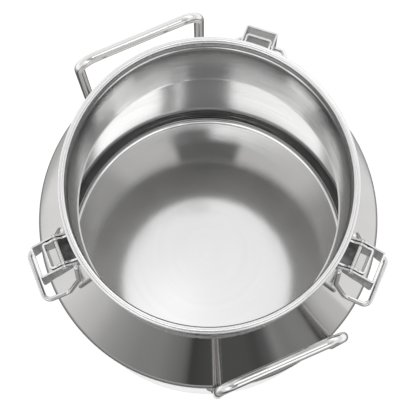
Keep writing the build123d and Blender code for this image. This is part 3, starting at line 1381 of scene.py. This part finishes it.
# ---- the studio -----------------------------------------------------------------
# Tones of the cards by azimuth in degrees: 0 is black, 1 the white that the camera sees round the can.
FRONT_TONES = (
    (204, 0.9), (218, 0.66), (226, 0.46), (232, 0.38), (241, 0.31), (250, 0.29), (259, 0.2),
    (261, 0.15), (263, 0.06), (268, 0.08), (277, 0.1), (286, 0.1), (291, 0.08), (296, 0.13),
    (300, 0.3), (304, 0.26), (310, 0.29), (315.5, 0.28), (317, 0.06), (318.5, 0.06), (321, 0.48),
    (326, 0.68), (332, 0.72),
)
FRONT_LAMPS = (
    (90, 0.35), (150, 0.35), (165, 0.8), (186, 0.6), (192, 2.1), (255, 2.1), (258, 0.3), (287, 0.3),
    (288, 1.9), (291, 1.9), (292, 0.38), (300, 0.38), (302, 2.4), (348, 2.4), (354, 0.35),
    (450, 0.35),
)
LAMP_EDGE = (
    (90, 1.22), (180, 1.22), (190, 1.15), (228, 1.15), (240, 0.5), (252, 0.3), (287, 0.3),
    (288, 1.5), (291, 1.5), (292, 0.35), (300, 0.35), (302, 1.3), (350, 1.15), (360, 1.15),
    (450, 1.22),
)
LAMP_SHADE = (
    (90, 1.22), (180, 1.22), (190, 1.4), (235, 1.6), (245, 2.2), (265, 2.2), (271, 0.28),
    (292, 0.28), (296, 0.75), (345, 0.9), (360, 1.22), (450, 1.22),
)
OUTER_RING = (
    (90, 0.75), (150, 0.75), (185, 0.45), (195, 0.65), (250, 0.65), (255, 0.25), (285, 0.25),
    (290, 0.7), (345, 0.7), (355, 0.45), (390, 0.75), (450, 0.75),
)
CEILING = (
    (90, 0.75), (150, 0.75), (190, 0.42), (253, 0.42), (256, 0.25), (284, 0.25), (287, 0.42),
    (350, 0.42), (390, 0.75), (450, 0.75),
)
WALLS = (
    (90, 1.0), (170, 0.8), (205, 0.8), (220, 1.35), (252, 1.35), (256, 0.3), (284, 0.3),
    (288, 1.25), (312, 1.25), (320, 0.85), (380, 0.9), (400, 1.6), (425, 1.6), (450, 1.0),
)
CEILING_HEART = ((90, 1.3), (110, 1.5), (150, 1.5), (195, 1.4), (345, 1.4), (360, 1.25), (450, 1.3))
CEILING_MIDDLE = (
    (90, 1.25), (180, 1.25), (195, 1.6), (262, 1.6), (285, 1.3), (345, 1.5), (360, 1.25), (450, 1.25),
)

# Reach of each ring of the ceiling in metres, and its tones. The first is all but a point, with one tone.
CEILING_TONES = (
    (0.0001, ((90, 1.38), (450, 1.38))),
    (0.25, CEILING_HEART),
    (0.41, CEILING_MIDDLE),
    (0.44, LAMP_SHADE),
    (0.49, LAMP_SHADE),
    (0.54, LAMP_SHADE),
    (0.57, LAMP_EDGE),
    (0.61, LAMP_EDGE),
    (0.64, FRONT_LAMPS),
    (0.75, FRONT_LAMPS),
    (0.8, OUTER_RING),
    (0.95, OUTER_RING),
    (1.2, CEILING),
    (2.2, CEILING),
    (3.0, WALLS),
    (6.0, WALLS),
)
# Share of the way out over the mat, a painted shadow round the can's foot that only steel sees, and its tone
# there.
MAT_TONES = ((0, 0.4), (0.06, 0.12), (0.3, 0.2), (0.65, 0.42), (1, 0.62))


def polar(reach: float, azimuth: float, z: float) -> Vector:
    """Point at a reach from the can's axis, an azimuth in degrees and a height."""
    angle = math.radians(azimuth)
    return Vector((reach * math.cos(angle), reach * math.sin(angle), z))


def between(stops: Sequence[Point], place: float) -> float:
    """Value of a broken line.

    Args:
        stops: Place and value of its corners, in order.
        place: Where to look.

    Returns:
        The value there, or that of the nearer end.
    """
    for (start, low), (end, high) in zip(stops, stops[1:]):
        if start <= place <= end:
            return low + (high - low) * (place - start) / (end - start)
    return stops[0][1] if place < stops[0][0] else stops[-1][1]


@dataclass
class Studio:
    """Pale floor, toned cards that only steel reflects, soft light and the camera.

    Attributes:
        mouth_z: Height of the can's mouth.
        camera_height: Of the camera over the mouth.
        camera_back: Of the camera in front of the can's axis.
        camera_side: Of the camera beside it.
        tilt: Of the camera's view from straight down, in degrees.
        turn: Of the camera's view to the right, in degrees.
        lens: Focal length in millimetres, on a 36 mm sensor.
        lamp_height: Of the ceiling card over the mouth.
        card_reach: Of the front card from the can's axis.
        card_height: Of the front card's upper edge.
        mat_near: Inner reach of the mat.
        mat_far: Outer reach of the mat.
        mat_shift: How far the mat's outer edge is moved along X and Y.
        mat_z: Height of the mat over the floor.
        floor_tone: Reflected part of the light.
        floor_glow: Light added to it for the eye.
        floor_gloss: Share of that light which steel reflects.
        level: Of the light from the surroundings.
    """

    mouth_z: float
    camera_height: float = 0.9882
    camera_back: float = 0.1977
    camera_side: float = -0.0046
    tilt: float = 10.06
    turn: float = 0.21
    lens: float = 103.85
    lamp_height: float = 2.5
    card_reach: float = 0.6
    card_height: float = 0.35
    mat_near: float = 0.19
    mat_far: float = 0.57
    mat_shift: Point = (-0.015, -0.06)
    mat_z: float = 0.002
    floor_tone: float = 0.6
    floor_glow: float = 0.64
    floor_gloss: float = 0.82
    level: float = 0.8

    def camera(self) -> None:
        """Place the camera."""
        data = bpy.data.cameras.new("camera")
        data.lens = self.lens
        data.sensor_width = 36.0
        made = bpy.data.objects.new("camera", data)
        made.location = (self.camera_side, -self.camera_back, self.mouth_z + self.camera_height)
        made.rotation_euler = (math.radians(self.tilt), math.radians(-self.turn), 0.0)
        bpy.context.scene.collection.objects.link(made)
        bpy.context.scene.camera = made

    def floor(self) -> None:
        """Pale floor that keeps the can's shadow, white to the eye and nearly so to steel."""
        shader = Shader("floor_white")
        tone = (*[self.floor_tone] * 3, 1.0)
        paint = shader.node("ShaderNodeBsdfDiffuse", sockets={"Color": tone})
        glow = shader.node("ShaderNodeEmission", sockets={"Color": WHITE, "Strength": self.floor_glow})
        camera = shader.node("ShaderNodeLightPath", output="Is Camera Ray")
        gloss = shader.node("ShaderNodeLightPath", output="Is Glossy Ray")
        lifted = shader.node("ShaderNodeAddShader", sockets={0: paint, 1: glow})
        sockets = {0: camera + gloss * self.floor_gloss, 1: paint, 2: lifted}
        mixed = shader.node("ShaderNodeMixShader", sockets=sockets)
        mesh = bmesh.new()
        bmesh.ops.create_grid(mesh, x_segments=1, y_segments=1, size=6.0)
        made = from_bmesh("studio_floor", mesh)
        made.data.materials.append(shader.finish(mixed))

    def card(self, name: str, rows: Sequence[Sequence[Vector]], tones: Sequence[Sequence[float]]) -> None:
        """Softly shaded card that only steel reflects.

        Args:
            name: The card's name.
            rows: Its points, row by row.
            tones: How light it is at each of them, from 0 for black.
        """
        shader = Shader(name)
        tone = shader.node("ShaderNodeAttribute", {"attribute_name": "tone"}, output="Color")
        paint = shader.node("ShaderNodeEmission", sockets={"Color": tone, "Strength": 1.0})
        mesh = bmesh.new()
        layer = mesh.verts.layers.float.new("tone")
        for row, values in zip(skin(rows, mesh, closed_rings=False, closed_run=False), tones):
            for vertex, value in zip(row, values):
                vertex[layer] = value
        made = from_bmesh(name, mesh)
        made.data.materials.append(shader.finish(paint))
        made.visible_camera = False
        made.visible_diffuse = False
        made.visible_shadow = False

    def front_card(self) -> None:
        """Upright card that curves round the front of the can, dark in its middle and paler at both ends."""
        azimuths = range(FRONT_TONES[0][0], FRONT_TONES[-1][0] + 1)
        heights = (0.0, self.card_height)
        rows = [[polar(self.card_reach, azimuth, z) for z in heights] for azimuth in azimuths]
        tones = [[between(FRONT_TONES, azimuth)] * 2 for azimuth in azimuths]
        self.card("front_card", rows, tones)

    def ceiling(self) -> None:
        """Broad ceiling over the can, with brighter and darker stretches in rings."""
        z = self.mouth_z + self.lamp_height
        azimuths = range(90, 451)
        rows = [[polar(reach, azimuth, z) for reach, _ in CEILING_TONES] for azimuth in azimuths]
        tones = [[between(profile, azimuth) for _, profile in CEILING_TONES] for azimuth in azimuths]
        self.card("ceiling_card", rows, tones)

    def mat(self) -> None:
        """Ring on the floor that only steel sees, a painted shadow darkest beside the can's foot and paler
        outward.
        """
        angles = range(0, 361, 4)
        rows = []
        for angle in angles:
            near = polar(self.mat_near, angle, self.mat_z)
            far = polar(self.mat_far, angle, self.mat_z) + Vector((*self.mat_shift, 0.0))
            rows.append([near.lerp(far, share) for share, _ in MAT_TONES])
        self.card("painted_shadow_mat", rows, [[tone for _, tone in MAT_TONES]] * len(angles))

    def light(self) -> None:
        """Even pale surroundings, white to the eye and a little darker as light."""
        shader = Shader("studio", surroundings=True)
        camera = shader.node("ShaderNodeLightPath", output="Is Camera Ray")
        lit = shader.node("ShaderNodeBackground", sockets={"Color": WHITE, "Strength": self.level})
        white = shader.node("ShaderNodeBackground", sockets={"Color": WHITE, "Strength": 1.0})
        mixed = shader.node("ShaderNodeMixShader", sockets={0: camera, 1: lit, 2: white})
        bpy.context.scene.world = shader.finish(mixed)

    def build(self) -> None:
        """Make the whole studio."""
        self.camera()
        self.floor()
        self.front_card()
        self.ceiling()
        self.mat()
        self.light()
        bpy.context.scene.view_settings.view_transform = "Standard"


def main() -> None:
    """Build the can's sub-assemblies in order, and the studio round them."""
    logging.basicConfig(level=logging.INFO, format="%(name)s: %(message)s")
    finishes = {name: finish.make() for name, finish in FINISHES.items()}
    pieces = Pieces()
    vessel = Vessel(pieces)
    Studio(vessel.mouth_z).build()
    vessel.build(finishes)
    for side, azimuth in HANDLE_AZIMUTHS.items():
        Handle(pieces, side, azimuth, vessel.outer).build(finishes)
    for side in LATCH_SIDES:
        Latch(pieces, side, vessel.neck_outer).build(finishes)
    LOG.info("%d pieces", len(pieces.made))


if __name__ == "__main__":
    main()
